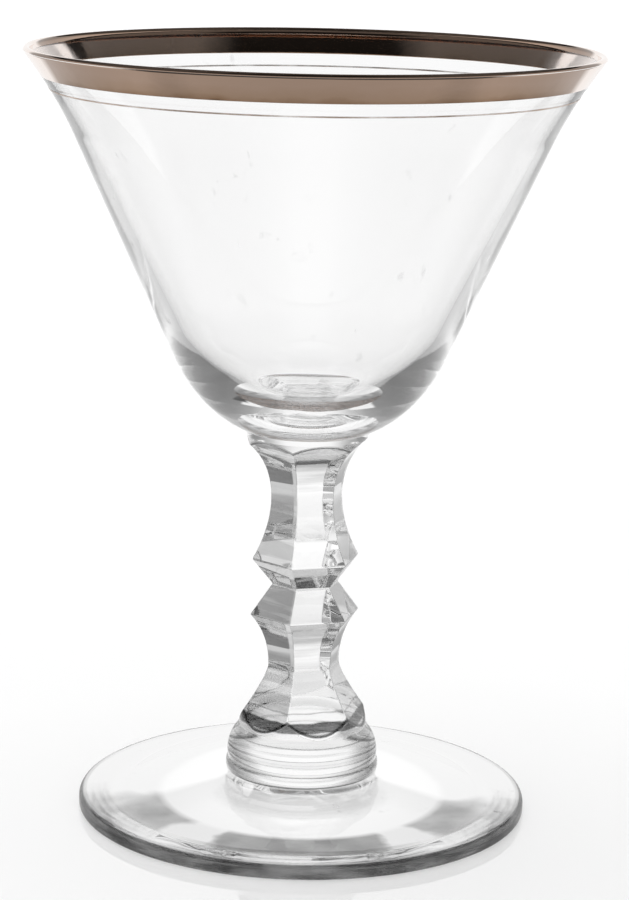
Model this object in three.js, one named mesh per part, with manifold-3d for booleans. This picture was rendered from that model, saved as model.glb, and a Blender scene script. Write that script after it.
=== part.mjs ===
// A stemmed liqueur glass: a blown bowl with a fired metal rim, a pressed six-sided stem and a round foot.
// Millimetres, +Z up. The origin is the middle of the plane that the glass stands on.

import * as THREE from 'three';
import { mergeVertices } from 'three/addons/utils/BufferGeometryUtils.js';
import Module from 'manifold-3d';

// Foot: a disc with a rounded edge, a gently rising top and a hollowed underside
const FOOT_RADIUS = 33.1;
const FOOT_HEIGHT = 5.6;
const FOOT_EDGE_HEIGHT = 2.2;
const FOOT_EDGE_TOP_ROUNDING = 1.0;
const FOOT_EDGE_BOTTOM_ROUNDING = 0.6;
const FOOT_SEAT_MARGIN = 0.4;
const REST_RING_WIDTH = 5.5;
const UNDERSIDE_HOLLOW = 2.8;

// Collar: two rings of glass, one on the other, between foot and stem
const LOWER_RING_RADIUS = 11.3;
const LOWER_RING_HEIGHT = 1.7;
const UPPER_RING_RADIUS = 11.1;
const UPPER_RING_HEIGHT = 5.1;
const UPPER_RING_ROUNDING = 1.2;
const RING_JOINT_DEPTH = 0.4;

// Stem: six facets between two round ends. Rises are counted upwards from one feature to the next
const STEM_BASE_RADIUS = 9.4;
const STEM_TOP_RADIUS = 8.8;
const STEM_TURN = THREE.MathUtils.degToRad(-14.1);
const SCALLOP_RUNOUT = 0.15;
const LOWER_WAIST_RADIUS = 5.43;
const LOWER_KNOP_RADIUS = 8.3;
const NECK_RADIUS = 4.97;
const UPPER_KNOP_RADIUS = 8.1;
const UPPER_WAIST_RADIUS = 5.42;
const LOWER_WAIST_RISE = 9.4;
const LOWER_KNOP_RISE = 7.7;
const NECK_RISE = 4.5;
const UPPER_KNOP_RISE = 3.85;
const UPPER_WAIST_RISE = 9.15;
const STEM_TOP_RISE = 9.2;
const BASE_FLARE_BEND = 1.9;
const LOWER_KNOP_BEND = 4.4;
const UPPER_KNOP_BEND = 4.3;
const TOP_FLARE_BEND = 6.0;

// Seal: the round wafer of glass that joins the bowl to the stem
const SEAL_HEIGHT = 0.8;
const SEAL_TOP_RADIUS = 9.1;

// Bowl: heights are above its own bottom, bends are the length of cone that each curve takes up
const BOWL_HEIGHT = 54.86;
const LIP_RADIUS = 41.15;
const SHOULDER_RADIUS = 19.7;
const SHOULDER_HEIGHT = 11.0;
const SHOULDER_BEND = 8.0;
const FLARE_START_RADIUS = 34.23;
const FLARE_START_HEIGHT = 43.0;
const FLARE_BEND = 5.0;
const LIP_THICKNESS = 1.0;
const FLARE_THICKNESS = 1.4;
const SHOULDER_THICKNESS = 2.6;
const FLOOR_THICKNESS = 4.0;
const INNER_SHOULDER_RISE = 5.0;
const INNER_WALL_BEND = 12.0;
const INNER_FLOOR_BEND = 8.0;

// Fired metal: a skin on the outside of the bowl, drawn much thicker than the real deposit
const METAL_THICKNESS = 0.12;
const METAL_CLEARANCE = 0.02;
const BAND_WIDTH = 4.0;
const LINE_GAP = 1.6;
const LINE_WIDTH = 0.25;

// Fineness
const SIDES = 60;
const STEM_SIDES = 6;
const CURVE_STEPS = 8;
const SMALL_CURVE_STEPS = 3;
const INNER_CURVE_STEPS = 14;

const CLEAR_GLASS = { color: 0xeef1f1, roughness: 0.04, metalness: 0, transparent: true, opacity: 0.35 };
const FIRED_METAL = { color: 0x8b7867, roughness: 0.16, metalness: 1 };

// Turns an outline of (radius, height) points about the vertical axis
function revolve(points) {
  return new THREE.LatheGeometry(points, SIDES, STEM_TURN).rotateX(Math.PI / 2);
}

// Points of a quadratic curve from start to end, without its first point
function curvePoints(start, control, end, steps = CURVE_STEPS) {
  return new THREE.QuadraticBezierCurve(start, control, end).getPoints(steps).slice(1);
}

// Points of a quarter-round edge that starts and ends square to its neighbours, without its first point
function roundedEdge(start, corner, end) {
  return curvePoints(start, corner, end, SMALL_CURVE_STEPS);
}

function point(radius, height) {
  return new THREE.Vector2(radius, height);
}

function makeFoot() {
  const restInner = FOOT_RADIUS - FOOT_EDGE_BOTTOM_ROUNDING - REST_RING_WIDTH;
  const seatRadius = LOWER_RING_RADIUS - RING_JOINT_DEPTH + FOOT_SEAT_MARGIN;
  const edgeTop = point(FOOT_RADIUS - FOOT_EDGE_TOP_ROUNDING, FOOT_EDGE_HEIGHT);
  const hollow = point(0, UNDERSIDE_HOLLOW);
  const restEdge = point(FOOT_RADIUS - FOOT_EDGE_BOTTOM_ROUNDING, 0);
  const sideLow = point(FOOT_RADIUS, FOOT_EDGE_BOTTOM_ROUNDING);
  const sideHigh = point(FOOT_RADIUS, FOOT_EDGE_HEIGHT - FOOT_EDGE_TOP_ROUNDING);
  return revolve([
    hollow,
    ...curvePoints(hollow, point(restInner / 2, UNDERSIDE_HOLLOW), point(restInner, 0)),
    restEdge,
    ...roundedEdge(restEdge, point(FOOT_RADIUS, 0), sideLow),
    sideHigh,
    ...roundedEdge(sideHigh, point(FOOT_RADIUS, FOOT_EDGE_HEIGHT), edgeTop),
    point(seatRadius, FOOT_HEIGHT),
    point(0, FOOT_HEIGHT),
  ]);
}

function makeLowerRing() {
  const edgeRadius = LOWER_RING_RADIUS - RING_JOINT_DEPTH;
  const bottom = point(edgeRadius, 0);
  const middle = point(LOWER_RING_RADIUS, LOWER_RING_HEIGHT / 2);
  const top = point(edgeRadius, LOWER_RING_HEIGHT);
  return revolve([
    point(0, 0),
    bottom,
    ...roundedEdge(bottom, point(LOWER_RING_RADIUS, 0), middle),
    ...roundedEdge(middle, point(LOWER_RING_RADIUS, LOWER_RING_HEIGHT), top),
    point(0, LOWER_RING_HEIGHT),
  ]);
}

function makeUpperRing() {
  const bottom = point(LOWER_RING_RADIUS - RING_JOINT_DEPTH, 0);
  const bulge = point(UPPER_RING_RADIUS, UPPER_RING_ROUNDING);
  const top = point(STEM_BASE_RADIUS, UPPER_RING_HEIGHT);
  const shoulder = point(UPPER_RING_RADIUS, (UPPER_RING_ROUNDING + UPPER_RING_HEIGHT) / 2);
  return revolve([
    point(0, 0),
    bottom,
    ...roundedEdge(bottom, point(UPPER_RING_RADIUS, 0), bulge),
    ...curvePoints(bulge, shoulder, top, CURVE_STEPS / 2),
    point(0, UPPER_RING_HEIGHT),
  ]);
}

// Corner radius of the faceted stem against height: flares, waists, knops and neck, from the bottom up
function stemOutline() {
  const flatToCorner = 1 / Math.cos(Math.PI / STEM_SIDES);
  const base = point((STEM_BASE_RADIUS + SCALLOP_RUNOUT) * flatToCorner, 0);
  const lowerWaist = point(LOWER_WAIST_RADIUS, LOWER_WAIST_RISE);
  const lowerKnop = point(LOWER_KNOP_RADIUS, lowerWaist.y + LOWER_KNOP_RISE);
  const neck = point(NECK_RADIUS, lowerKnop.y + NECK_RISE);
  const upperKnop = point(UPPER_KNOP_RADIUS, neck.y + UPPER_KNOP_RISE);
  const upperWaist = point(UPPER_WAIST_RADIUS, upperKnop.y + UPPER_WAIST_RISE);
  const top = point((STEM_TOP_RADIUS + SCALLOP_RUNOUT) * flatToCorner, upperWaist.y + STEM_TOP_RISE);
  return [
    base,
    ...curvePoints(base, point(LOWER_WAIST_RADIUS, lowerWaist.y - BASE_FLARE_BEND), lowerWaist),
    ...curvePoints(lowerWaist, point(LOWER_WAIST_RADIUS, lowerWaist.y + LOWER_KNOP_BEND), lowerKnop),
    neck,
    upperKnop,
    ...curvePoints(upperKnop, point(UPPER_WAIST_RADIUS, upperWaist.y - UPPER_KNOP_BEND), upperWaist),
    ...curvePoints(upperWaist, point(UPPER_WAIST_RADIUS, upperWaist.y + TOP_FLARE_BEND), top),
  ];
}

function stemHeight() {
  return stemOutline().at(-1).y;
}

// Stacks six-sided rings of the outline's corner radii and closes both ends
function makeFacets() {
  const positions = [];
  const triangles = [];
  const outline = stemOutline();
  for (const ring of outline) {
    for (let corner = 0; corner < STEM_SIDES; corner++) {
      const turn = STEM_TURN + corner * 2 * Math.PI / STEM_SIDES;
      positions.push(ring.x * Math.sin(turn), -ring.x * Math.cos(turn), ring.y);
    }
  }
  for (let level = 0; level + 1 < outline.length; level++) {
    for (let corner = 0; corner < STEM_SIDES; corner++) {
      const here = level * STEM_SIDES + corner;
      const next = level * STEM_SIDES + (corner + 1) % STEM_SIDES;
      triangles.push(here, next, next + STEM_SIDES, here, next + STEM_SIDES, here + STEM_SIDES);
    }
  }
  const topStart = (outline.length - 1) * STEM_SIDES;
  for (let corner = 1; corner + 1 < STEM_SIDES; corner++) {
    triangles.push(0, corner + 1, corner);
    triangles.push(topStart, topStart + corner, topStart + corner + 1);
  }
  const geometry = new THREE.BufferGeometry();
  geometry.setAttribute('position', new THREE.Float32BufferAttribute(positions, 3));
  geometry.setIndex(triangles);
  return geometry;
}

function toManifold(wasm, geometry) {
  const bare = geometry.clone();
  bare.deleteAttribute('normal');
  bare.deleteAttribute('uv');
  const merged = mergeVertices(bare);
  return new wasm.Manifold(new wasm.Mesh({
    numProp: 3,
    vertProperties: merged.getAttribute('position').array,
    triVerts: Uint32Array.from(merged.getIndex().array),
  }));
}

function fromManifold(manifold) {
  const mesh = manifold.getMesh();
  const geometry = new THREE.BufferGeometry();
  geometry.setAttribute('position', new THREE.BufferAttribute(mesh.vertProperties, 3));
  geometry.setIndex(new THREE.BufferAttribute(mesh.triVerts, 1));
  return geometry;
}

// The facets are cut into a round, slightly tapered blank, which leaves scallops at both ends
function makeStem(wasm) {
  const blank = revolve([
    point(0, 0),
    point(STEM_BASE_RADIUS, 0),
    point(STEM_TOP_RADIUS, stemHeight()),
    point(0, stemHeight()),
  ]);
  return fromManifold(toManifold(wasm, makeFacets()).intersect(toManifold(wasm, blank)));
}

function makeSeal() {
  return revolve([
    point(0, 0),
    point(STEM_TOP_RADIUS, 0),
    point(SEAL_TOP_RADIUS, SEAL_HEIGHT),
    point(0, SEAL_HEIGHT),
  ]);
}

// Outside of the bowl from its bottom edge to the start of the lip's rounding
function bowlOutside() {
  const bottom = point(SEAL_TOP_RADIUS, 0);
  const shoulder = point(SHOULDER_RADIUS, SHOULDER_HEIGHT);
  const flareStart = point(FLARE_START_RADIUS, FLARE_START_HEIGHT);
  const lip = point(LIP_RADIUS, BOWL_HEIGHT - LIP_THICKNESS / 2);
  const coneSlope = (flareStart.x - shoulder.x) / (flareStart.y - shoulder.y);
  const corner = point(shoulder.x - SHOULDER_BEND * coneSlope, shoulder.y - SHOULDER_BEND);
  const flareBend = point(flareStart.x + FLARE_BEND * coneSlope, flareStart.y + FLARE_BEND);
  return [
    bottom,
    ...curvePoints(bottom, corner, shoulder),
    flareStart,
    ...curvePoints(flareStart, flareBend, lip),
  ];
}

// Rounded lip from the outside over the top to the inside
function lipRound() {
  const rounding = LIP_THICKNESS / 2;
  const steps = 2 * SMALL_CURVE_STEPS;
  const arc = [];
  for (let step = 1; step <= steps; step++) {
    const turn = Math.PI * step / steps;
    const radius = LIP_RADIUS - rounding + rounding * Math.cos(turn);
    const height = BOWL_HEIGHT - rounding + rounding * Math.sin(turn);
    arc.push(point(radius, height));
  }
  return arc;
}

// Inside of the bowl from the end of the lip's rounding down to the middle of the floor
function bowlInside() {
  const outerSlope = (FLARE_START_RADIUS - SHOULDER_RADIUS) / (FLARE_START_HEIGHT - SHOULDER_HEIGHT);
  const lip = point(LIP_RADIUS - LIP_THICKNESS, BOWL_HEIGHT - LIP_THICKNESS / 2);
  const flareStart = point(FLARE_START_RADIUS - FLARE_THICKNESS, FLARE_START_HEIGHT);
  const shoulderHeight = SHOULDER_HEIGHT + INNER_SHOULDER_RISE;
  const shoulder = point(SHOULDER_RADIUS + INNER_SHOULDER_RISE * outerSlope - SHOULDER_THICKNESS, shoulderHeight);
  const coneSlope = (flareStart.x - shoulder.x) / (flareStart.y - shoulder.y);
  const flareBend = point(flareStart.x + FLARE_BEND * coneSlope, flareStart.y + FLARE_BEND);
  const wallBend = shoulder.clone().sub(flareStart).setLength(INNER_WALL_BEND).add(shoulder);
  const floorBend = point(INNER_FLOOR_BEND, FLOOR_THICKNESS);
  const hollow = new THREE.CubicBezierCurve(shoulder, wallBend, floorBend, point(0, FLOOR_THICKNESS));
  return [
    ...curvePoints(lip, flareBend, flareStart),
    ...hollow.getPoints(INNER_CURVE_STEPS),
  ];
}

function makeBowl() {
  return revolve([point(0, 0), ...bowlOutside(), ...lipRound(), ...bowlInside()]);
}

// Moves each point of an outline sideways, square to the line through its neighbours
function offset(points, distance) {
  return points.map((here, index) => {
    const before = points[Math.max(index - 1, 0)];
    const after = points[Math.min(index + 1, points.length - 1)];
    const along = after.clone().sub(before).normalize();
    return point(here.x + distance * along.y, here.y - distance * along.x);
  });
}

// The stretch of the bowl's outside between two heights
function bowlOutsideBetween(low, high) {
  const outside = bowlOutside();
  const edgeAt = (height) => {
    const above = outside.findIndex((each) => each.y > height);
    const start = outside[above - 1];
    return start.clone().lerp(outside[above], (height - start.y) / (outside[above].y - start.y));
  };
  const between = outside.filter((each) => each.y > low && each.y < high);
  return [edgeAt(low), ...between, edgeAt(high)];
}

// A closed metal skin over a stretch of the bowl's outline
function metalSkin(stretch) {
  const outer = offset(stretch, METAL_CLEARANCE + METAL_THICKNESS);
  const inner = offset(stretch, METAL_CLEARANCE).reverse();
  return revolve([...outer, ...inner, outer[0]]);
}

function makeRimBand() {
  const low = BOWL_HEIGHT - BAND_WIDTH;
  const lipStart = BOWL_HEIGHT - LIP_THICKNESS / 2;
  const outside = bowlOutsideBetween(low, lipStart - METAL_CLEARANCE);
  const insideEdge = bowlInside()[0];
  return metalSkin([...outside, ...lipRound(), insideEdge]);
}

function makeRimLine() {
  const high = BOWL_HEIGHT - BAND_WIDTH - LINE_GAP;
  return metalSkin(bowlOutsideBetween(high - LINE_WIDTH, high));
}

function addPiece(group, name, geometry, height, look) {
  const piece = new THREE.Mesh(geometry, new THREE.MeshStandardMaterial(look));
  piece.name = name;
  piece.position.z = height;
  group.add(piece);
}

const wasm = await Module();
wasm.setup();

const lowerRingBase = FOOT_HEIGHT;
const upperRingBase = lowerRingBase + LOWER_RING_HEIGHT;
const stemBase = upperRingBase + UPPER_RING_HEIGHT;
const sealBase = stemBase + stemHeight();
const bowlBase = sealBase + SEAL_HEIGHT;

const glass = new THREE.Group();
addPiece(glass, 'foot', makeFoot(), 0, CLEAR_GLASS);
addPiece(glass, 'lower_ring', makeLowerRing(), lowerRingBase, CLEAR_GLASS);
addPiece(glass, 'upper_ring', makeUpperRing(), upperRingBase, CLEAR_GLASS);
addPiece(glass, 'stem', makeStem(wasm), stemBase, CLEAR_GLASS);
addPiece(glass, 'bowl_seal', makeSeal(), sealBase, CLEAR_GLASS);
addPiece(glass, 'bowl', makeBowl(), bowlBase, CLEAR_GLASS);
addPiece(glass, 'rim_band', makeRimBand(), bowlBase, FIRED_METAL);
addPiece(glass, 'rim_line', makeRimLine(), bowlBase, FIRED_METAL);

export default glass;
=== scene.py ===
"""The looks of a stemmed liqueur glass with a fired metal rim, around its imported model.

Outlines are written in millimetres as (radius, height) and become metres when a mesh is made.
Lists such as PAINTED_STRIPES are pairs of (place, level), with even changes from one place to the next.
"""

import math

import bpy
import numpy as np
from mathutils import Matrix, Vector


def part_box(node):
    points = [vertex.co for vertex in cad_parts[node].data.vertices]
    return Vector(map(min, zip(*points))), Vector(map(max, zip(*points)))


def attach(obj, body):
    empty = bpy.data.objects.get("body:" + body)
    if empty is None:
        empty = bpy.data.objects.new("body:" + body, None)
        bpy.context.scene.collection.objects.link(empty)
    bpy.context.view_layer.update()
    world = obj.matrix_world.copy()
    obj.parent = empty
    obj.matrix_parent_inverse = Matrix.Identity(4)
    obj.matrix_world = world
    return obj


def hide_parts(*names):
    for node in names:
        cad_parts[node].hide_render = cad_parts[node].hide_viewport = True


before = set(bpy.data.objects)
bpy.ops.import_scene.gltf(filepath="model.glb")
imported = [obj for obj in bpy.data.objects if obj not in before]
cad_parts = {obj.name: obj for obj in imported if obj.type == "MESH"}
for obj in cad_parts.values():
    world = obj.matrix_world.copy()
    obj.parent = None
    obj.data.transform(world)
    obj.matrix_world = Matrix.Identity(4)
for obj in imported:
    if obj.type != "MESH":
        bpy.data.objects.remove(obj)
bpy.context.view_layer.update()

MM = 0.001
TURNED_SIDES = 256
POLE_RADIUS = 1e-6

# Material slots of a piece
OUTER, FUSED = 0, 1

# Joint heights and outer sizes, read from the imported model
FOOT_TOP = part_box("foot")[1].z / MM
LOWER_RING_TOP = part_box("lower_ring")[1].z / MM
UPPER_RING_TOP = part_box("upper_ring")[1].z / MM
STEM_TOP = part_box("stem")[1].z / MM
SEAL_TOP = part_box("bowl_seal")[1].z / MM
GLASS_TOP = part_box("bowl")[1].z / MM
FOOT_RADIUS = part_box("foot")[1].x / MM

# Foot
FOOT_EDGE_HEIGHT = 2.2
FOOT_TOP_ROUNDING = 1.0
FOOT_BOTTOM_ROUNDING = 0.6
REST_RING_WIDTH = 5.5
UNDERSIDE_HOLLOW = 2.8
FOOT_FILLET = 0.7
FILLET_START_DROP = 0.25
FILLET_BEND_DROP = 0.1

# Collar
RING_JOINT_RADIUS = 10.9
LOWER_RING_RADIUS = 11.3
UPPER_RING_RADIUS = 11.1
UPPER_RING_ROUNDING = 1.2

# Stem: waists, knops and neck are (corner radius, height above the stem's base)
STEM_SIDES = 6
STEM_TURN = math.radians(-14.1)
STEM_BASE_RADIUS = 9.4
STEM_TOP_RADIUS = 8.8
SCALLOP_RUNOUT = 0.15
SCALLOP_SOFTNESS = 0.05
CORNER_ROUNDING = 0.28
RIDGE_ROUNDING = 0.25
LOWER_WAIST = (5.43, 9.4)
LOWER_KNOP = (8.3, 17.1)
NECK = (4.97, 21.6)
UPPER_KNOP = (8.1, 25.45)
UPPER_WAIST = (5.42, 34.6)
BASE_FLARE_BEND = 1.9
LOWER_KNOP_BEND = 4.4
UPPER_KNOP_BEND = 4.3
TOP_FLARE_BEND = 6.0

# Seal under the bowl
SEAL_RADIUS = 9.1
SEAL_GAP = 0.02

# Bowl: heights are above its own bottom
LIP_RADIUS = 41.15
LIP_THICKNESS = 1.0
SHOULDER = (19.7, 11.0)
SHOULDER_BEND = 8.0
FLARE_START = (34.23, 43.0)
FLARE_BEND = 5.0
FLARE_THICKNESS = 1.4
SHOULDER_THICKNESS = 2.6
FLOOR_THICKNESS = 4.0
INNER_SHOULDER_RISE = 5.0
INNER_WALL_BEND = 12.0
INNER_FLOOR_BEND = 8.0

# Fired metal
METAL_GAP = 0.01
METAL_THICKNESS = 0.03
BAND_WIDTH = 3.95
LINE_TOP = 5.65
LINE_WIDTH = 0.22

# Clear glass: grains are waves per metre along each axis
GLASS_IOR = 1.52
GLASS_SHADOW = 0.94
SMOOTH_WAVES = (120, 120, 60)
SMOOTH_WAVE_HEIGHT = 0.02
PRESSED_WAVES = (90, 90, 500)
PRESSED_WAVE_HEIGHT = 0.04
SCUFF_GRAIN = (420, 420, 260)
SCUFF_ROUGHNESS = [(0.64, 0.0), (0.72, 0.3)]
SCUFF_PATCH_GRAIN = (45, 45, 45)
SCUFF_PATCHES = [(0.55, 0.0), (0.65, 1.0)]
SCUFF_SHADE = [(0.0, 1.0), (0.3, 0.8)]

# Painted shade on the foot's edge: each span goes from where it starts to where it is full
EDGE_SHADE_DEPTH = (1.4, 1.0)
EDGE_SHADE_HEIGHT = (2.25, 2.1)
EDGE_GRAIN = (150, 150, 500)
EDGE_DARKNESS = [(0.4, 0.01), (0.65, 0.07)]

# Painted stripes of shade in the foot: by distance from the axis, and how much they show from front to back
STRIPE_GRAIN = (60, 60, 60)
STRIPE_WAVES = 0.4
PAINTED_STRIPES = [
    (28.9, 1.0), (29.3, 0.5), (30.0, 0.75), (30.2, 0.4), (30.9, 0.8), (31.2, 0.35), (31.9, 0.9), (32.2, 0.4),
    (32.6, 0.8),
]
PAINTED_STRIPES_BY_SIDE = [(0.0, 1.0), (0.05, 1.0), (0.1, 0.15), (0.14, 0.15), (0.2, 0.6), (0.38, 0.6), (0.5, 0.0)]

# Streaks in the painted shade on the sides of the stem and the collar
STREAK_GRAIN = (60, 60, 900)
STREAKS = [(0.42, 0.0), (0.6, 0.08)]

# Painted shade on the stem: its sides, the dark band at its base by height, and the arcs by depth of the
# flats
STEM_SIDE_SHADE = [(0.13, 1.0), (0.22, 0.7), (0.32, 0.27), (0.7, 0.5)]
BAND_GRAIN = (300, 300, 100)
BAND_RAGGED = 0.6
PAINTED_DARK_BAND = [(13.6, 1.0), (13.8, 0.06), (15.05, 0.02), (15.25, 1.0), (16.2, 1.0), (16.35, 0.2), (16.5, 1.0)]
PAINTED_ARC_SHADE = [(0.08, 1.0), (0.14, 0.05), (0.3, 0.05), (0.45, 1.0)]

# Painted shade on the collar: its sides, and the fine dark lines round it by height
RING_SIDE_SHADE = [(0.22, 1.0), (0.36, 0.45), (0.6, 0.15), (0.9, 0.5)]
LINE_GRAIN = (120, 120, 40)
LINE_WAVES = 0.2
PAINTED_COLLAR_LINES = [
    (5.95, 0.1), (6.15, 1.0), (8.8, 1.0), (8.9, 0.5), (9.0, 1.0), (11.4, 1.0), (11.5, 0.15), (11.65, 1.0)
]

# Looks of the metal
METAL_TONES = [
    (0.19, (0.15, 0.09, 0.05, 1)),
    (0.29, (0.32, 0.20, 0.125, 1)),
    (0.55, (0.43, 0.295, 0.21, 1)),
    (1.0, (0.48, 0.34, 0.26, 1)),
]
TONE_GRAIN = (180, 180, 320)
TONE_CLOUDS = 0.7
TONE_TOP_DEPTH = 0.6
METAL_ROUGHNESS_GRAIN = (260, 260, 260)
METAL_ROUGHNESS = [(0.35, 0.03), (0.7, 0.12)]
METAL_BUMP_GRAIN = (900, 900, 900)
METAL_BUMP_HEIGHT = 0.01
# Painted light and shade on the metal: darker sides and lip, a painted sheen at the ends, and a pale lip
# underside
SIDE_SHADE = [(0.42, 1.0), (0.51, 0.83), (0.62, 0.66)]
LIP_SHADE = 0.6
LIP_SHADE_FADE = 0.2
LIP_UNDERSIDE = 0.97
PAINTED_SHEEN = (0.88, 0.77, 0.71, 1)
PAINTED_SHEEN_START = [(0.74, 0.0), (0.79, 1.0)]
INNER_SIDE_LEAD = 0.28
# The thin line's own tones, rubbed places and roughness
LINE_TONE_GRAIN = (90, 90, 90)
LINE_TONES = [(0.3, (0.42, 0.30, 0.22, 1)), (0.7, (0.55, 0.42, 0.34, 1))]
RUBBED_GRAIN = (160, 160, 160)
RUBBED = [(0.35, 0.25), (0.65, 0.8)]
LINE_ROUGHNESS_GRAIN = (400, 400, 400)
LINE_ROUGHNESS = [(0.3, 0.1), (0.7, 0.3)]

# Camera: the photograph's own viewpoint, found from the rim and foot ellipses
CAMERA_PLACE = (0.0, -0.4095, 0.1442)
CAMERA_PITCH = math.radians(12.444)
CAMERA_YAW = math.radians(0.139)
CAMERA_ROLL = math.radians(1.15)
CAMERA_LENS = 115.2
CAMERA_FILM_WIDTH = 36.0
CAMERA_NEAR = 0.01

# Lamp
LAMP_STRENGTH = 2.2
LAMP_WIDTH = math.radians(50)
LAMP_TILT = (math.radians(-12), math.radians(-8), 0)

# Floor: its own look
FLOOR_GAP = 0.05
FLOOR_EXTENT = 3000
FLOOR_SIDES = 64
FLOOR_COLOUR = 0.8
FLOOR_ROUGHNESS = 0.03
FLOOR_IOR = 1.45
FLOOR_LIFT = 0.18

# Floor as glass sees it, with dips of painted shade, by distance: to the front, back and sides, and slanting
# halfway between them
STRAIGHT_FLOOR = [
    (0, 0.78), (9, 0.80), (13, 1.03), (22, 0.98), (30, 0.95), (34, 0.68), (45, 0.86), (80, 0.96), (300, 1.04)
]
SLANT_FLOOR = [(0, 0.78), (9, 0.80), (13, 1.03), (30, 0.95), (36, 0.55), (110, 0.5), (200, 0.75), (260, 1.04)]

# Painted shade under the foot, as grey patches on that floor: where they show by distance, and their level
# from 0 in front to 1 behind
PATCHES_BY_DISTANCE = [(20, 0.0), (21.5, 1.0), (38, 1.0), (43, 0.0)]
PATCHES_BY_SIDE = [
    (0.0, 0.27), (0.055, 0.29), (0.085, 0.95), (0.12, 0.95), (0.17, 0.34), (0.40, 0.42), (0.5, 0.85),
    (0.6, 1.0),
]
PATCH_EDGE_GRAIN = (90, 90, 90)
PATCH_EDGE_WAVES = 0.12
MOTTLE_GRAIN = (150, 150, 150)
MOTTLE_SPAN = (0.35, 0.65)
MOTTLE_BRIGHTEST = 1.5
PATCH_WHITE = 0.88

# Floor as metal sees it: the glass's own shade near by, and a dark room far in front
NEAR_SHADE = 0.62
NEAR_SHADE_SPAN = (70, 200)
FRONT_DARKNESS = 0.08
FRONT_TURN_SPAN = (-0.1, -0.35)
FRONT_DISTANCE_SPAN = (85, 130)

# Room: its level for the soft light, and the level of its dark parts
ROOM_LEVEL = 0.3
DARK_ROOM = 0.015

# Sky as glass sees it, in degrees: round from 180 in front to 0 behind, and the ceiling by its height
SKY_BY_AZIMUTH = [
    (180, 0.85), (167, 0.8), (156, 0.5), (140, 0.32), (116, 0.19), (60, 0.18), (45, 0.24), (35, 0.36),
    (25, 0.62), (15, 0.95), (0, 1.0),
]
CEILING_IN_GLASS = 0.17
CEILING = [(54, 0.0), (70, 1.0)]

# Zones of the sky: how far round and how high each of them shows, in degrees
DARK_ARC_SPAN = [(51, 0.0), (49, 1.0), (38, 1.0), (36.5, 0.0)]
DARK_ARC = [(22, 0.0), (24, 1.0), (34, 1.0), (36, 0.0)]
BRIGHT_END_SPAN = [(43, 0.0), (41, 1.0), (20, 1.0), (14, 0.0)]
BRIGHT_END = [(17.5, 0.0), (19, 1.0), (30, 1.0), (33, 0.0)]
DARK_FRONT_SPAN = [(180, 1.0), (128, 1.0), (108, 0.0)]
DARK_FRONT = [(43, 0.0), (47, 1.0)]

# Sky as metal sees it: (sine of the angle above the floor, level)
METAL_SKY = [(0.40, 1.0), (0.43, DARK_ROOM), (0.49, DARK_ROOM), (0.53, 0.20), (0.95, 0.20)]

# Light paths: glass in glass needs many steps
MOST_BOUNCES = 96
MOST_GLASS_BOUNCES = 64
MOST_CLEAR_BOUNCES = 32


def curve(start, control, end, steps):
    """Points of a quadratic curve from start to end, without its first point."""
    t = np.linspace(0, 1, steps + 1)[1:, None]
    a, b, c = (np.array(p, float) for p in (start, control, end))
    return list((1 - t) ** 2 * a + 2 * t * (1 - t) * b + t**2 * c)


def long_curve(start, first_control, second_control, end, steps):
    """Points of a cubic curve from start to end, without its first point."""
    t = np.linspace(0, 1, steps + 1)[1:, None]
    a, b, c, d = (np.array(p, float) for p in (start, first_control, second_control, end))
    return list((1 - t) ** 3 * a + 3 * t * (1 - t) ** 2 * b + 3 * t**2 * (1 - t) * c + t**3 * d)


def line(start, end, steps):
    """Points of a straight line from start to end, without its first point."""
    return curve(start, (np.array(start, float) + np.array(end, float)) / 2, end, steps)


def on_line(a, b, height):
    """The point of the line through a and b at a height."""
    share = (height - a[1]) / (b[1] - a[1])
    return (a[0] + share * (b[0] - a[0]), height)


def unit(vector):
    """The same direction with a length of 1."""
    return vector / np.linalg.norm(vector)


def offset(points, distance):
    """Moves each point of an outline sideways, square to the line through its neighbours."""
    points = np.array(points, float)
    along = np.gradient(points, axis=0)
    along /= np.linalg.norm(along, axis=1)[:, None]
    return points + distance * np.stack([along[:, 1], -along[:, 0]], 1)


def ring_faces(starts, rings, slots):
    """Faces between each ring and the next, and the slot of each face."""
    faces, face_slots = [], []
    for i, slot in enumerate(slots):
        low, high = rings[i], rings[i + 1]
        sides = max(len(low), len(high))
        for k in range(sides):
            n = (k + 1) % sides
            if len(low) == 1:
                faces.append((starts[i], starts[i + 1] + n, starts[i + 1] + k))
            elif len(high) == 1:
                faces.append((starts[i] + k, starts[i] + n, starts[i + 1]))
            else:
                faces.append((starts[i] + k, starts[i] + n, starts[i + 1] + n, starts[i + 1] + k))
            face_slots.append(slot)
    return faces, face_slots


def mesh_object(name, rings, slots, sharp_rings):
    """A body from rings of points. A ring of one point is a pole. Each gap between rings has its slot."""
    points, starts = [], []
    for ring in rings:
        starts.append(len(points))
        points.extend(ring)
    faces, face_slots = ring_faces(starts, rings, slots)
    mesh = bpy.data.meshes.new(name)
    mesh.from_pydata((np.array(points) * MM).tolist(), [], faces)
    mesh.polygons.foreach_set("material_index", face_slots)
    mesh.polygons.foreach_set("use_smooth", [True] * len(faces))
    sharp_points = set()
    for i in sharp_rings:
        sharp_points.update(range(starts[i], starts[i] + len(rings[i])))
    for edge in mesh.edges:
        if edge.vertices[0] in sharp_points and edge.vertices[1] in sharp_points:
            edge.use_edge_sharp = True
    mesh.validate()
    body = bpy.data.objects.new(name, mesh)
    bpy.context.scene.collection.objects.link(body)
    return body


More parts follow.
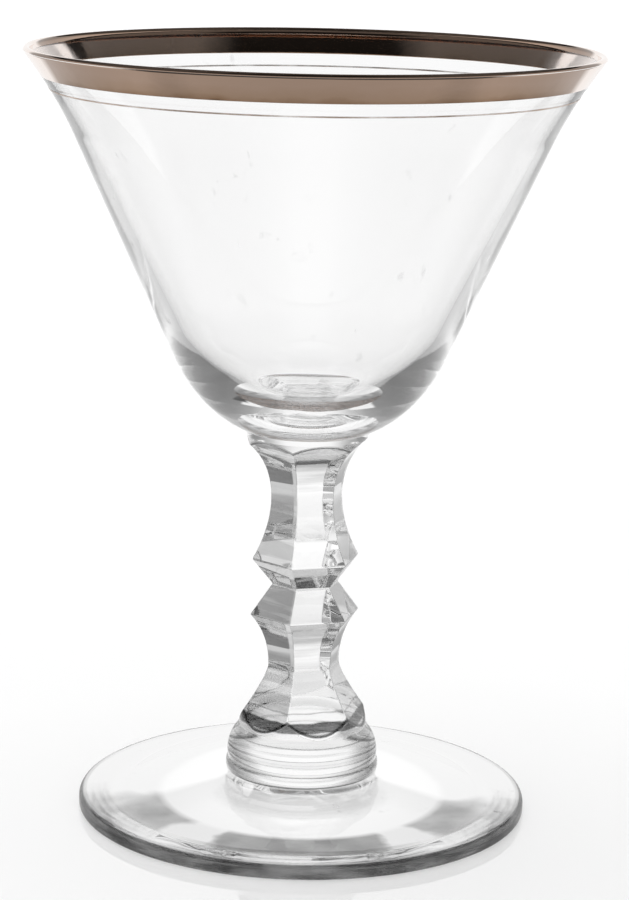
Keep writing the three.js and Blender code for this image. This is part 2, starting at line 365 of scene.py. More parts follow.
def turned(name, stretches, closed=False):
    """Turns an outline about the axis. stretches is a list of (points, slot, sharp start)."""
    outline, slots, sharp = [], [], []
    for points, slot, sharp_start in stretches:
        if outline and sharp_start:
            sharp.append(len(outline) - 1)
        slots.extend([slot] * (len(points) if outline else len(points) - 1))
        outline.extend(points)
    angles = STEM_TURN + np.arange(TURNED_SIDES) * 2 * math.pi / TURNED_SIDES
    rings = []
    for radius, height in outline:
        if radius < POLE_RADIUS:
            rings.append([(0.0, 0.0, height)])
        else:
            rings.append([(radius * math.sin(a), -radius * math.cos(a), height) for a in angles])
    if closed:
        slots.append(slots[-1])
        rings.append(rings[0])
    return mesh_object(name, rings, slots, sharp)


def make_foot():
    """A disc with a hollow underside, a rest ring, a rounded edge and a slope up to the collar."""
    rest_inner = FOOT_RADIUS - FOOT_BOTTOM_ROUNDING - REST_RING_WIDTH
    rest_edge = (FOOT_RADIUS - FOOT_BOTTOM_ROUNDING, 0)
    side_low = (FOOT_RADIUS, FOOT_BOTTOM_ROUNDING)
    side_high = (FOOT_RADIUS, FOOT_EDGE_HEIGHT - FOOT_TOP_ROUNDING)
    edge_top = (FOOT_RADIUS - FOOT_TOP_ROUNDING, FOOT_EDGE_HEIGHT)
    slope_end = (RING_JOINT_RADIUS + 2 * FOOT_FILLET, FOOT_TOP - FILLET_START_DROP)
    fillet_bend = (RING_JOINT_RADIUS + FOOT_FILLET, FOOT_TOP - FILLET_BEND_DROP)
    joint = (RING_JOINT_RADIUS, FOOT_TOP)
    hollow = (0, UNDERSIDE_HOLLOW)
    underside = [hollow]
    underside += curve(hollow, (rest_inner / 2, UNDERSIDE_HOLLOW), (rest_inner, 0), steps=24)
    underside += line((rest_inner, 0), rest_edge, steps=4)
    edge = curve(rest_edge, (FOOT_RADIUS, 0), side_low, steps=8)
    edge += line(side_low, side_high, steps=3)
    edge += curve(side_high, (FOOT_RADIUS, FOOT_EDGE_HEIGHT), edge_top, steps=10)
    top = line(edge_top, slope_end, steps=24)
    top += curve(slope_end, fillet_bend, joint, steps=6)
    seat = [(0, FOOT_TOP)]
    return turned("foot_glass", [(underside, OUTER, False), (edge + top, OUTER, False), (seat, FUSED, True)])


def make_lower_ring():
    bottom = (RING_JOINT_RADIUS, FOOT_TOP)
    middle = (LOWER_RING_RADIUS, (FOOT_TOP + LOWER_RING_TOP) / 2)
    top = (RING_JOINT_RADIUS, LOWER_RING_TOP)
    bulge = curve(bottom, (LOWER_RING_RADIUS, FOOT_TOP), middle, steps=8)
    bulge += curve(middle, (LOWER_RING_RADIUS, LOWER_RING_TOP), top, steps=8)
    return turned("lower_ring_glass", [
        ([(0, FOOT_TOP), bottom], FUSED, False),
        (bulge, OUTER, True),
        ([(0, LOWER_RING_TOP)], FUSED, True),
    ])


def make_upper_ring():
    bottom = (RING_JOINT_RADIUS, LOWER_RING_TOP)
    bulge_top = (UPPER_RING_RADIUS, LOWER_RING_TOP + UPPER_RING_ROUNDING)
    shoulder = (UPPER_RING_RADIUS, (bulge_top[1] + UPPER_RING_TOP) / 2)
    side = curve(bottom, (UPPER_RING_RADIUS, LOWER_RING_TOP), bulge_top, steps=8)
    side += curve(bulge_top, shoulder, (STEM_BASE_RADIUS, UPPER_RING_TOP), steps=20)
    return turned("upper_ring_glass", [
        ([(0, LOWER_RING_TOP), bottom], FUSED, False),
        (side, OUTER, True),
        ([(0, UPPER_RING_TOP)], FUSED, True),
    ])


def rounded_ridge(before, ridge, after):
    """Points that replace a sharp ridge of the stem's outline by a small round."""
    ridge = np.array(ridge, float)
    start = ridge + RIDGE_ROUNDING * unit(np.array(before, float) - ridge)
    end = ridge + RIDGE_ROUNDING * unit(np.array(after, float) - ridge)
    return [start] + curve(start, ridge, end, steps=6)


def stem_outline():
    """Corner radius of the stem against height above its base."""
    height = STEM_TOP - UPPER_RING_TOP
    flat_to_corner = 1 / math.cos(math.pi / STEM_SIDES)
    base = ((STEM_BASE_RADIUS + SCALLOP_RUNOUT) * flat_to_corner, 0)
    top = ((STEM_TOP_RADIUS + SCALLOP_RUNOUT) * flat_to_corner, height)
    base_bend = (LOWER_WAIST[0], LOWER_WAIST[1] - BASE_FLARE_BEND)
    lower_bend = (LOWER_WAIST[0], LOWER_WAIST[1] + LOWER_KNOP_BEND)
    upper_bend = (UPPER_WAIST[0], UPPER_WAIST[1] - UPPER_KNOP_BEND)
    top_bend = (UPPER_WAIST[0], UPPER_WAIST[1] + TOP_FLARE_BEND)
    lower_knop = rounded_ridge(lower_bend, LOWER_KNOP, NECK)
    neck = rounded_ridge(LOWER_KNOP, NECK, UPPER_KNOP)
    upper_knop = rounded_ridge(NECK, UPPER_KNOP, upper_bend)
    outline = [np.array(base)]
    outline += curve(base, base_bend, LOWER_WAIST, steps=80)
    outline += curve(LOWER_WAIST, lower_bend, lower_knop[0], steps=30)
    outline += lower_knop[1:]
    outline += line(lower_knop[-1], neck[0], steps=14)
    outline += neck[1:]
    outline += line(neck[-1], upper_knop[0], steps=12)
    outline += upper_knop[1:]
    outline += curve(upper_knop[-1], upper_bend, UPPER_WAIST, steps=30)
    outline += curve(UPPER_WAIST, top_bend, top, steps=80)
    return outline


def rounded_hexagon(corner_radius, arc_steps=6, flat_steps=44):
    """Points round one level of the stem before the blank cuts it: flats joined by rounded corners."""
    half_turn = math.pi / STEM_SIDES
    centre = corner_radius - CORNER_ROUNDING / math.cos(half_turn)
    arcs = []
    for corner in range(STEM_SIDES):
        turn = STEM_TURN + corner * 2 * half_turn
        middle = centre * np.array([math.cos(turn), math.sin(turn)])
        swing = turn + np.linspace(-half_turn, half_turn, arc_steps + 1)
        arcs.append(middle + CORNER_ROUNDING * np.stack([np.cos(swing), np.sin(swing)], 1))
    points = []
    for corner, arc in enumerate(arcs):
        following = arcs[(corner + 1) % STEM_SIDES][0]
        share = np.linspace(0, 1, flat_steps + 1)[1:-1, None]
        points.append(arc)
        points.append(arc[-1] + share * (following - arc[-1]))
    return np.concatenate(points)


def stem_section(corner_radius, blank_radius):
    """One level of the stem: its hexagon, kept inside the round blank by a soft minimum."""
    points = rounded_hexagon(corner_radius)
    radius = np.linalg.norm(points, axis=1)
    over = np.abs(radius - blank_radius) / SCALLOP_SOFTNESS
    soft = np.minimum(radius, blank_radius) - SCALLOP_SOFTNESS * np.log1p(np.exp(-over))
    return points * (soft / radius)[:, None]


def make_stem():
    """The pressed stem, six-sided where the flats cut into its round blank."""
    height = STEM_TOP - UPPER_RING_TOP
    rings = [[(0.0, 0.0, UPPER_RING_TOP)]]
    for corner_radius, level in stem_outline():
        blank = STEM_BASE_RADIUS + (STEM_TOP_RADIUS - STEM_BASE_RADIUS) * level / height
        section = stem_section(corner_radius, blank)
        rings.append([(y, -x, UPPER_RING_TOP + level) for x, y in section])
    rings.append([(0.0, 0.0, STEM_TOP)])
    slots = [FUSED] + [OUTER] * (len(rings) - 3) + [FUSED]
    return mesh_object("stem_glass", rings, slots, sharp_rings=[1, len(rings) - 2])


def make_seal():
    """The round seal. A thin gap of air over it gives the line that shows under the bowl."""
    bottom = (STEM_TOP_RADIUS, STEM_TOP)
    top = (SEAL_RADIUS, SEAL_TOP - SEAL_GAP)
    return turned("bowl_seal_glass", [
        ([(0, STEM_TOP), bottom], FUSED, False),
        (line(bottom, top, steps=6), OUTER, True),
        ([(0, SEAL_TOP - SEAL_GAP)], OUTER, True),
    ])


def bowl_point(outline_point):
    """A point of the bowl, whose heights count from its bottom, at its place on the glass."""
    return (outline_point[0], outline_point[1] + SEAL_TOP)


def bowl_outside():
    """Outside of the bowl from its bottom edge up to the start of the lip's round."""
    lip = (LIP_RADIUS, GLASS_TOP - SEAL_TOP - LIP_THICKNESS / 2)
    corner = on_line(SHOULDER, FLARE_START, SHOULDER[1] - SHOULDER_BEND)
    bend = on_line(SHOULDER, FLARE_START, FLARE_START[1] + FLARE_BEND)
    outline = [(SEAL_RADIUS, 0)]
    outline += curve((SEAL_RADIUS, 0), corner, SHOULDER, steps=40)
    outline += line(SHOULDER, FLARE_START, steps=32)
    outline += curve(FLARE_START, bend, lip, steps=32)
    return [bowl_point(p) for p in outline]


def lip_round(steps=12):
    """The half round over the lip, without its first point."""
    rounding = LIP_THICKNESS / 2
    turns = np.linspace(0, math.pi, steps + 1)[1:]
    return [
        (LIP_RADIUS - rounding + rounding * math.cos(t), GLASS_TOP - rounding + rounding * math.sin(t))
        for t in turns
    ]


def bowl_inside():
    """Inside of the bowl from the end of the lip's round down to the middle of the floor."""
    lip = (LIP_RADIUS - LIP_THICKNESS, GLASS_TOP - SEAL_TOP - LIP_THICKNESS / 2)
    flare_start = (FLARE_START[0] - FLARE_THICKNESS, FLARE_START[1])
    outer = on_line(SHOULDER, FLARE_START, SHOULDER[1] + INNER_SHOULDER_RISE)
    shoulder = (outer[0] - SHOULDER_THICKNESS, outer[1])
    flare_bend = on_line(shoulder, flare_start, flare_start[1] + FLARE_BEND)
    wall_bend = np.array(shoulder) + INNER_WALL_BEND * unit(np.array(shoulder) - np.array(flare_start))
    floor_bend = (INNER_FLOOR_BEND, FLOOR_THICKNESS)
    outline = curve(lip, flare_bend, flare_start, steps=32)
    outline += line(flare_start, shoulder, steps=30)
    outline += long_curve(shoulder, wall_bend, floor_bend, (0, FLOOR_THICKNESS), steps=64)
    return [bowl_point(p) for p in outline]


def make_bowl():
    return turned("bowl_glass", [
        ([(0, SEAL_TOP), (SEAL_RADIUS, SEAL_TOP)], OUTER, False),
        (bowl_outside()[1:], OUTER, True),
        (lip_round() + bowl_inside(), OUTER, False),
    ])


def outside_between(low, high, steps):
    """The stretch of the bowl's outside between two heights, evenly spaced in height."""
    outside = np.array(bowl_outside())
    heights = np.linspace(low, high, steps + 1)
    return list(np.stack([np.interp(heights, outside[:, 1], outside[:, 0]), heights], 1))


def metal_skin(name, stretch):
    """A thin closed ring of metal along a stretch of the bowl's surface."""
    outer = offset(stretch, METAL_GAP + METAL_THICKNESS)
    inner = offset(stretch, METAL_GAP)[::-1]
    return turned(name, [(list(outer), OUTER, False), (list(inner), OUTER, True)], closed=True)


def make_rim_band():
    outside = outside_between(GLASS_TOP - BAND_WIDTH, GLASS_TOP - LIP_THICKNESS / 2, steps=24)
    return metal_skin("rim_band_metal", outside + lip_round() + [bowl_inside()[0]])


def make_rim_line():
    top = GLASS_TOP - LINE_TOP
    return metal_skin("rim_line_metal", outside_between(top - LINE_WIDTH, top, steps=3))


class Nodes:
    """Short hand for building one node tree."""

    def __init__(self, tree):
        self.tree = tree
        tree.nodes.clear()

    def add(self, kind, **settings):
        node = self.tree.nodes.new(kind)
        for name, value in settings.items():
            setattr(node, name, value)
        return node

    def put(self, value, socket):
        """Links a socket to another, or writes a plain value on it."""
        if isinstance(value, bpy.types.NodeSocket):
            self.tree.links.new(value, socket)
        else:
            socket.default_value = value

    def set(self, node, **values):
        for name, value in values.items():
            self.put(value, node.inputs[name.replace("_", " ")])
        return node


def new_material(name):
    material = bpy.data.materials.new(name)
    material.use_nodes = True
    return material, Nodes(material.node_tree)


def grey(level):
    return (level, level, level, 1)


def ramp(nodes, factor, stops):
    """A colour that follows a factor. stops are (place, colour)."""
    node = nodes.add("ShaderNodeValToRGB")
    nodes.put(factor, node.inputs["Fac"])
    elements = node.color_ramp.elements
    while len(elements) < len(stops):
        elements.new(1.0)
    for element, (place, colour) in zip(elements, stops):
        element.position = place
        element.color = colour
    return node.outputs["Color"]


def shade(nodes, factor, stops):
    """A grey level that follows a factor. stops are (place, level)."""
    return ramp(nodes, factor, [(place, grey(level)) for place, level in stops])


def calculate(nodes, operation, *values):
    node = nodes.add("ShaderNodeMath", operation=operation)
    for socket, value in zip(node.inputs, values):
        nodes.put(value, socket)
    return node.outputs[0]


def map_range(nodes, value, start, end, low=0.0, high=1.0):
    """Maps a value from start..end to low..high and holds it there outside."""
    node = nodes.add("ShaderNodeMapRange")
    nodes.set(node, Value=value, From_Min=start, From_Max=end, To_Min=low, To_Max=high)
    return node.outputs[0]


def mix_colours(nodes, blend, factor, first, second):
    """Mixes two colours, each a socket or a plain colour. The node's colour sockets are its 6, 7 and 2."""
    mix = nodes.add("ShaderNodeMix", data_type="RGBA", blend_type=blend)
    nodes.put(factor, mix.inputs["Factor"])
    nodes.put(first, mix.inputs[6])
    nodes.put(second, mix.inputs[7])
    return mix.outputs[2]


def choose(nodes, factor, low, high):
    """The first colour where the factor is 0, the second where it is 1."""
    return mix_colours(nodes, "MIX", factor, low, high)


def times(nodes, first, second):
    """Darkens one colour by another."""
    return mix_colours(nodes, "MULTIPLY", 1.0, first, second)


def mix_shaders(nodes, factor, first, second):
    """Ends a tree with two shaders mixed by a factor."""
    mix = nodes.add("ShaderNodeMixShader")
    nodes.put(factor, mix.inputs[0])
    nodes.put(first.outputs[0], mix.inputs[1])
    nodes.put(second.outputs[0], mix.inputs[2])
    end_with(nodes, mix)


def end_with(nodes, shader):
    nodes.put(shader.outputs[0], nodes.add("ShaderNodeOutputMaterial").inputs["Surface"])


def split_vector(nodes, vector):
    split = nodes.add("ShaderNodeSeparateXYZ")
    nodes.put(vector, split.inputs[0])
    return split


def place_on_object(nodes):
    """The object's own place in metres."""
    return nodes.add("ShaderNodeTexCoord").outputs["Object"]


def height_of(nodes):
    return split_vector(nodes, place_on_object(nodes)).outputs["Z"]


def round_the_axis(nodes):
    """Distance from the glass's axis in metres, and the way from the axis as a direction of length 1."""
    flat = nodes.add("ShaderNodeVectorMath", operation="MULTIPLY")
    nodes.put(place_on_object(nodes), flat.inputs[0])
    nodes.put((1, 1, 0), flat.inputs[1])
    reach = nodes.add("ShaderNodeVectorMath", operation="LENGTH")
    nodes.put(flat.outputs["Vector"], reach.inputs[0])
    way = nodes.add("ShaderNodeVectorMath", operation="NORMALIZE")
    nodes.put(flat.outputs["Vector"], way.inputs[0])
    return reach.outputs["Value"], split_vector(nodes, way.outputs["Vector"])


def front_to_back(nodes, y):
    """0 straight in front and 1 straight behind, from the y of a direction."""
    return calculate(nodes, "MULTIPLY_ADD", y, 0.5, 0.5)


def noise(nodes, grain, detail=2.0):
    """Noise over the object's own place, with its number of waves per metre along each axis."""
    mapping = nodes.add("ShaderNodeMapping")
    nodes.set(mapping, Vector=place_on_object(nodes), Scale=grain)
    texture = nodes.add("ShaderNodeTexNoise")
    nodes.set(texture, Vector=mapping.outputs["Vector"], Scale=1.0, Detail=detail)
    return texture.outputs["Fac"]


def wavy(nodes, length, grain, waves, detail=2.0):
    """A length in metres, with up to some millimetres of noise added to it."""
    return calculate(nodes, "MULTIPLY_ADD", noise(nodes, grain, detail), waves * MM, length)


def by_length(nodes, length, stops):
    """A level that follows a length in metres. stops are (millimetres, level)."""
    reach = stops[-1][0]
    share = calculate(nodes, "DIVIDE", length, reach * MM)
    return shade(nodes, share, [(millimetres / reach, level) for millimetres, level in stops])


def by_azimuth(nodes, towards_back, stops):
    """A level that follows the angle from straight behind. stops are (degrees, level), widest angle first."""
    places = [((1 + math.cos(math.radians(angle))) / 2, level) for angle, level in stops]
    return shade(nodes, towards_back, places)


def by_elevation(nodes, height, stops):
    """A level that follows the angle above the floor. stops are (degrees, level)."""
    return shade(nodes, height, [(math.sin(math.radians(angle)), level) for angle, level in stops])


def facing_of(nodes):
    """0 where a face is seen head on and 1 where it is seen along itself."""
    facing = nodes.add("ShaderNodeLayerWeight")
    nodes.set(facing, Blend=0.5)
    return facing.outputs["Facing"]


def on_the_way_in(nodes, tint):
    """Tints light only where a ray enters the glass, not where it leaves it."""
    return choose(nodes, nodes.add("ShaderNodeNewGeometry").outputs["Backfacing"], tint, grey(1.0))


def edge_shade(nodes):
    """Painted shade: the foot's edge is painted dark from outside, for light trapped in it, and thin painted
    stripes of shade run round it.
    """
    distance, way = round_the_axis(nodes)
    top, full_below = EDGE_SHADE_HEIGHT
    start, full = EDGE_SHADE_DEPTH
    low = map_range(nodes, height_of(nodes), top * MM, full_below * MM)
    outer = map_range(nodes, distance, (FOOT_RADIUS - start) * MM, (FOOT_RADIUS - full) * MM)
    dark = shade(nodes, noise(nodes, EDGE_GRAIN, detail=3.0), EDGE_DARKNESS)
    edge = choose(nodes, calculate(nodes, "MULTIPLY", low, outer), grey(1.0), dark)
    stripes = by_length(nodes, wavy(nodes, distance, STRIPE_GRAIN, STRIPE_WAVES), PAINTED_STRIPES)
    shown = shade(nodes, front_to_back(nodes, way.outputs["Y"]), PAINTED_STRIPES_BY_SIDE)
    return on_the_way_in(nodes, times(nodes, edge, choose(nodes, shown, grey(1.0), stripes)))


def slant(nodes):
    """How far a face is turned away from the view, with thin level streaks: the factor for painted shade on
    the stem and collar.
    """
    streaks = shade(nodes, noise(nodes, STREAK_GRAIN, detail=3.0), STREAKS)
    return calculate(nodes, "ADD", facing_of(nodes), streaks)


def stem_shade(nodes):
    """Painted shade: side faces are painted grey and streaky, the base a ragged dark band, and the flats end
    in dark arcs.
    """
    sides = shade(nodes, slant(nodes), STEM_SIDE_SHADE)
    # A ragged painted dark band at the stem's base, by height
    band = by_length(nodes, wavy(nodes, height_of(nodes), BAND_GRAIN, BAND_RAGGED, detail=5.0), PAINTED_DARK_BAND)
    # Painted dark arcs where the flats end in the round blank
    low, high = UPPER_RING_TOP * MM, STEM_TOP * MM
    blank = map_range(nodes, height_of(nodes), low, high, STEM_BASE_RADIUS * MM, STEM_TOP_RADIUS * MM)
    depth = calculate(nodes, "SUBTRACT", blank, round_the_axis(nodes)[0])
    arcs = by_length(nodes, depth, PAINTED_ARC_SHADE)
    return on_the_way_in(nodes, times(nodes, times(nodes, sides, band), arcs))


def ring_shade(nodes):
    """Painted shade: the collar stays white in the middle and is painted grey at its sides, with thin dark
    lines round it.
    """
    sides = shade(nodes, slant(nodes), RING_SIDE_SHADE)
    lines = by_length(nodes, wavy(nodes, height_of(nodes), LINE_GRAIN, LINE_WAVES), PAINTED_COLLAR_LINES)
    return on_the_way_in(nodes, times(nodes, sides, lines))


def clear_glass(name, waves, wave_height, painted_shade=None):
    """Polished glass with slow waves from the fire and a few faint scuffs, darkened further by any painted
    shade it is given. It throws only a thin shadow.
    """
    material, nodes = new_material(name)
    scuffs = shade(nodes, noise(nodes, SCUFF_GRAIN, detail=6.0), SCUFF_ROUGHNESS)
    patches = shade(nodes, noise(nodes, SCUFF_PATCH_GRAIN), SCUFF_PATCHES)
    wear = calculate(nodes, "MULTIPLY", scuffs, patches)
    tint = on_the_way_in(nodes, shade(nodes, wear, SCUFF_SHADE))
    if painted_shade:
        tint = times(nodes, tint, painted_shade(nodes))
    bump = nodes.add("ShaderNodeBump")
    nodes.set(bump, Strength=1.0, Distance=wave_height * MM, Height=noise(nodes, waves, detail=1.0))
    glass = nodes.add("ShaderNodeBsdfPrincipled")
    nodes.set(glass, Base_Color=tint, Roughness=wear, Normal=bump.outputs["Normal"])
    nodes.set(glass, IOR=GLASS_IOR, Transmission_Weight=1.0)
    shadow = nodes.add("ShaderNodeBsdfTransparent")
    nodes.set(shadow, Color=grey(GLASS_SHADOW))
    mix_shaders(nodes, nodes.add("ShaderNodeLightPath").outputs["Is Shadow Ray"], glass, shadow)
    return material


def fused_glass():
    """The inside of a fused joint, where light passes from one piece of glass into the next unchanged."""
    material, nodes = new_material("fused_glass")
    end_with(nodes, nodes.add("ShaderNodeBsdfTransparent"))
    return material


def metal_shade(nodes, tone):
    """Painted shade darkens the lip and the band's sides, and a painted sheen pales the ends, which on the
    inner side start sooner.
    The lip's underside, which is only seen along the inside of the glass wall, is painted pale too, as
    painted light."""
    turned_away = facing_of(nodes)
    normal = split_vector(nodes, nodes.add("ShaderNodeNewGeometry").outputs["Normal"])
    lip_start = (GLASS_TOP - LIP_THICKNESS / 2) * MM
    lip = map_range(nodes, height_of(nodes), lip_start, lip_start + LIP_SHADE_FADE * MM, 1.0, LIP_SHADE)
    sides = shade(nodes, turned_away, SIDE_SHADE)
    tone = times(nodes, times(nodes, tone, sides), lip)
    under_lip = calculate(nodes, "LESS_THAN", height_of(nodes), (GLASS_TOP - LIP_THICKNESS) * MM)
    faces_up = calculate(nodes, "GREATER_THAN", normal.outputs["Z"], 0.0)
    inner = calculate(nodes, "MULTIPLY", faces_up, under_lip)
    lead = calculate(nodes, "MULTIPLY_ADD", inner, INNER_SIDE_LEAD, turned_away)
    tone = choose(nodes, shade(nodes, lead, PAINTED_SHEEN_START), tone, PAINTED_SHEEN)
    faces_down = calculate(nodes, "LESS_THAN", normal.outputs["Z"], 0.0)
    on_lip = calculate(nodes, "GREATER_THAN", height_of(nodes), lip_start)
    underside = calculate(nodes, "MULTIPLY", faces_down, on_lip)
    return choose(nodes, underside, tone, grey(LIP_UNDERSIDE))


def fired_metal():
    """Bright fired metal, in clouds that get darker and browner towards the band's lower edge."""
    material, nodes = new_material("fired_metal")
    low, high = (GLASS_TOP - BAND_WIDTH) * MM, (GLASS_TOP - TONE_TOP_DEPTH) * MM
    rise = map_range(nodes, height_of(nodes), low, high)
    cloud = calculate(nodes, "MULTIPLY_ADD", noise(nodes, TONE_GRAIN, detail=5.0), TONE_CLOUDS, rise)
    # metal_shade adds painted light and shade to this tone
    tone = metal_shade(nodes, ramp(nodes, cloud, METAL_TONES))
    rough = shade(nodes, noise(nodes, METAL_ROUGHNESS_GRAIN, detail=4.0), METAL_ROUGHNESS)
    grain = noise(nodes, METAL_BUMP_GRAIN, detail=3.0)
    bump = nodes.add("ShaderNodeBump")
    nodes.set(bump, Strength=1.0, Distance=METAL_BUMP_HEIGHT * MM, Height=grain)
    metal = nodes.add("ShaderNodeBsdfPrincipled")
    nodes.set(metal, Base_Color=tone, Metallic=1.0, Roughness=rough, Normal=bump.outputs["Normal"])
    end_with(nodes, metal)
    return material


def worn_line():
    """The thin fired line, rubbed pale in places."""
    material, nodes = new_material("worn_line")
    rough = shade(nodes, noise(nodes, LINE_ROUGHNESS_GRAIN, detail=3.0), LINE_ROUGHNESS)
    tone = ramp(nodes, noise(nodes, LINE_TONE_GRAIN, detail=3.0), LINE_TONES)
    metal = nodes.add("ShaderNodeBsdfPrincipled")
    nodes.set(metal, Base_Color=tone, Metallic=1.0, Roughness=rough)
    rubbed = shade(nodes, noise(nodes, RUBBED_GRAIN, detail=4.0), RUBBED)
    mix_shaders(nodes, rubbed, metal, nodes.add("ShaderNodeBsdfTransparent"))
    return material


def dress(piece, node, materials):
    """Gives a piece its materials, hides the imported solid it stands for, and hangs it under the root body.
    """
    for material in materials:
        piece.data.materials.append(material)
    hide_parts(node)
    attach(piece, "root")


def seen_in_glass_or_metal(nodes, path):
    return calculate(nodes, "MAXIMUM", path.outputs["Is Glossy Ray"], path.outputs["Is Transmission Ray"])


def sky_zone(nodes, towards_back, span, height, rise):
    """1 inside one zone of the sky, given by how far round and how high it reaches."""
    return calculate(
        nodes, "MULTIPLY", by_azimuth(nodes, towards_back, span), by_elevation(nodes, height, rise)
    )


def towards_back_of(nodes, way):
    """0 where a direction points straight to the front and 1 straight to the back, whatever its height."""
    height_squared = calculate(nodes, "MULTIPLY", way.outputs["Z"], way.outputs["Z"])
    level = calculate(nodes, "SQRT", calculate(nodes, "SUBTRACT", 1.0, height_squared))
    return front_to_back(nodes, calculate(nodes, "DIVIDE", way.outputs["Y"], level))


def skies(nodes):
    """The dome as glass sees it and as metal sees it."""
    way = split_vector(nodes, nodes.add("ShaderNodeTexCoord").outputs["Generated"])
    height = way.outputs["Z"]
    towards_back = towards_back_of(nodes, way)
    on_the_right = calculate(nodes, "GREATER_THAN", way.outputs["X"], 0.0)
    arc = sky_zone(nodes, towards_back, DARK_ARC_SPAN, height, DARK_ARC)
    arc = calculate(nodes, "MULTIPLY", arc, on_the_right)
    front = sky_zone(nodes, towards_back, DARK_FRONT_SPAN, height, DARK_FRONT)
    ends = sky_zone(nodes, towards_back, BRIGHT_END_SPAN, height, BRIGHT_END)
    in_glass = choose(nodes, ends, by_azimuth(nodes, towards_back, SKY_BY_AZIMUTH), grey(1.0))
    in_glass = choose(nodes, by_elevation(nodes, height, CEILING), in_glass, grey(CEILING_IN_GLASS))
    in_glass = choose(nodes, calculate(nodes, "MAXIMUM", arc, front), in_glass, grey(DARK_ROOM))
    in_metal = choose(nodes, front, shade(nodes, height, METAL_SKY), grey(DARK_ROOM))
    return in_glass, in_metal


def make_world():
    """White for the camera, a soft grey room for the light, and a dome of their own for glass and metal."""
    world = bpy.data.worlds.new("studio")
    bpy.context.scene.world = world
    world.use_nodes = True
    nodes = Nodes(world.node_tree)
    in_glass, in_metal = skies(nodes)
    path = nodes.add("ShaderNodeLightPath")
    reflected = choose(nodes, path.outputs["Is Transmission Ray"], in_metal, in_glass)
    soft = choose(nodes, seen_in_glass_or_metal(nodes, path), grey(ROOM_LEVEL), reflected)
    shown = choose(nodes, path.outputs["Is Camera Ray"], soft, grey(1.0))
    background = nodes.set(nodes.add("ShaderNodeBackground"), Color=shown)
    nodes.put(background.outputs[0], nodes.add("ShaderNodeOutputWorld").inputs["Surface"])


def painted_shade_patches(nodes, way):
    """Painted shade under the foot: grey patches in front and at both sides, with ragged ends and a light
    mottle.
    """
    side = calculate(nodes, "SUBTRACT", front_to_back(nodes, way.outputs["Y"]), PATCH_EDGE_WAVES / 2)
    ragged = noise(nodes, PATCH_EDGE_GRAIN, detail=5.0)
    side = calculate(nodes, "MULTIPLY_ADD", ragged, PATCH_EDGE_WAVES, side)
    patches = shade(nodes, side, PATCHES_BY_SIDE)
    mottle = map_range(nodes, noise(nodes, MOTTLE_GRAIN, detail=4.0), *MOTTLE_SPAN, 1.0, MOTTLE_BRIGHTEST)
    return calculate(nodes, "MINIMUM", calculate(nodes, "MULTIPLY", patches, mottle), PATCH_WHITE)


def floor_in_glass(nodes, distance, way):
    """How bright glass sees the floor: soft zones of painted shade round the object, and painted shade under
    the foot as grey patches.
    """
    # The square of the sine of twice the way's angle: 0 straight, 1 halfway between
    between = calculate(nodes, "MULTIPLY", way.outputs["X"], way.outputs["Y"])
    slanting = calculate(nodes, "MULTIPLY", calculate(nodes, "MULTIPLY", between, between), 4.0)
    straight = by_length(nodes, distance, STRAIGHT_FLOOR)
    zones = choose(nodes, slanting, straight, by_length(nodes, distance, SLANT_FLOOR))
    return choose(nodes, by_length(nodes, distance, PATCHES_BY_DISTANCE), zones, painted_shade_patches(nodes, way))


def floor_in_metal(nodes, distance, way):
    """How bright metal sees the floor: shaded by the glass near by, and dark far in front."""
    near, far = NEAR_SHADE_SPAN
    dim, dark = FRONT_DISTANCE_SPAN
    shaded = map_range(nodes, distance, near * MM, far * MM, NEAR_SHADE, 1.0)
    in_front = map_range(nodes, way.outputs["Y"], *FRONT_TURN_SPAN)
    far_in_front = calculate(nodes, "MULTIPLY", in_front, map_range(nodes, distance, dim * MM, dark * MM))
    return choose(nodes, far_in_front, shaded, grey(FRONT_DARKNESS))


def floor_material():
    """Pale and slightly glossy with a soft shadow. Glass and metal each see levels of their own there."""
    material, nodes = new_material("pale_floor")
    matt = nodes.add("ShaderNodeBsdfPrincipled")
    nodes.set(matt, Base_Color=grey(FLOOR_COLOUR), Roughness=FLOOR_ROUGHNESS, IOR=FLOOR_IOR)
    lift = nodes.set(nodes.add("ShaderNodeEmission"), Strength=FLOOR_LIFT)
    lifted = nodes.add("ShaderNodeAddShader")
    nodes.put(matt.outputs[0], lifted.inputs[0])
    nodes.put(lift.outputs[0], lifted.inputs[1])
    distance, way = round_the_axis(nodes)
    in_glass = floor_in_glass(nodes, distance, way)
    in_metal = floor_in_metal(nodes, distance, way)
    path = nodes.add("ShaderNodeLightPath")
    level = choose(nodes, path.outputs["Is Transmission Ray"], in_metal, in_glass)
    glow = nodes.set(nodes.add("ShaderNodeEmission"), Color=level)
    mix_shaders(nodes, seen_in_glass_or_metal(nodes, path), lifted, glow)
    return material


def make_floor():
    """A wide round floor, just under the foot."""
    turns = np.arange(FLOOR_SIDES) * 2 * math.pi / FLOOR_SIDES
    edge = [(FLOOR_EXTENT * math.cos(a), FLOOR_EXTENT * math.sin(a), -FLOOR_GAP) for a in turns]
    floor = mesh_object("floor", [[(0.0, 0.0, -FLOOR_GAP)], edge], slots=[0], sharp_rings=[])
    floor.data.materials.append(floor_material())


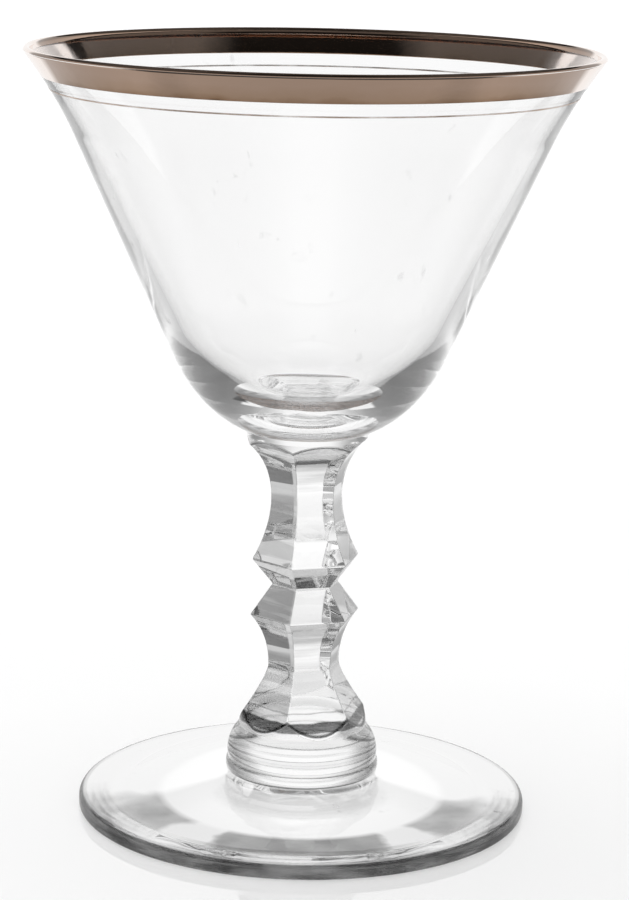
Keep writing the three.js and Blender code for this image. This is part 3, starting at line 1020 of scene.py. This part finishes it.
def make_lamp():
    """One wide soft lamp from above, which glass and metal don't mirror."""
    lamp = bpy.data.lights.new("softbox", "SUN")
    lamp.energy = LAMP_STRENGTH
    lamp.angle = LAMP_WIDTH
    holder = bpy.data.objects.new("softbox", lamp)
    bpy.context.scene.collection.objects.link(holder)
    holder.rotation_euler = LAMP_TILT
    holder.visible_glossy = False
    holder.visible_transmission = False


def make_camera():
    data = bpy.data.cameras.new("camera")
    data.lens = CAMERA_LENS
    data.sensor_width = CAMERA_FILM_WIDTH
    data.clip_start = CAMERA_NEAR
    holder = bpy.data.objects.new("camera", data)
    bpy.context.scene.collection.objects.link(holder)
    level = Matrix.Rotation(-CAMERA_YAW, 4, "Z") @ Matrix.Rotation(math.pi / 2 - CAMERA_PITCH, 4, "X")
    holder.matrix_world = Matrix.Translation(CAMERA_PLACE) @ level @ Matrix.Rotation(CAMERA_ROLL, 4, "Z")
    bpy.context.scene.camera = holder


fused = fused_glass()
metal = fired_metal()
blown = clear_glass("blown_glass", SMOOTH_WAVES, SMOOTH_WAVE_HEIGHT)
pressed = clear_glass("pressed_glass", PRESSED_WAVES, PRESSED_WAVE_HEIGHT, stem_shade)
collar_glass = clear_glass("collar_glass", SMOOTH_WAVES, SMOOTH_WAVE_HEIGHT, ring_shade)
foot_glass = clear_glass("foot_glass", SMOOTH_WAVES, SMOOTH_WAVE_HEIGHT, edge_shade)

dress(make_foot(), "foot", [foot_glass, fused])
dress(make_lower_ring(), "lower_ring", [collar_glass, fused])
dress(make_upper_ring(), "upper_ring", [collar_glass, fused])
dress(make_stem(), "stem", [pressed, fused])
dress(make_seal(), "bowl_seal", [blown, fused])
dress(make_bowl(), "bowl", [blown, fused])
dress(make_rim_band(), "rim_band", [metal])
dress(make_rim_line(), "rim_line", [worn_line()])

make_world()
make_floor()
make_lamp()
make_camera()

scene = bpy.context.scene
scene.view_settings.view_transform = "Standard"
scene.cycles.max_bounces = MOST_BOUNCES
scene.cycles.glossy_bounces = MOST_GLASS_BOUNCES
scene.cycles.transmission_bounces = MOST_GLASS_BOUNCES
scene.cycles.transparent_max_bounces = MOST_CLEAR_BOUNCES
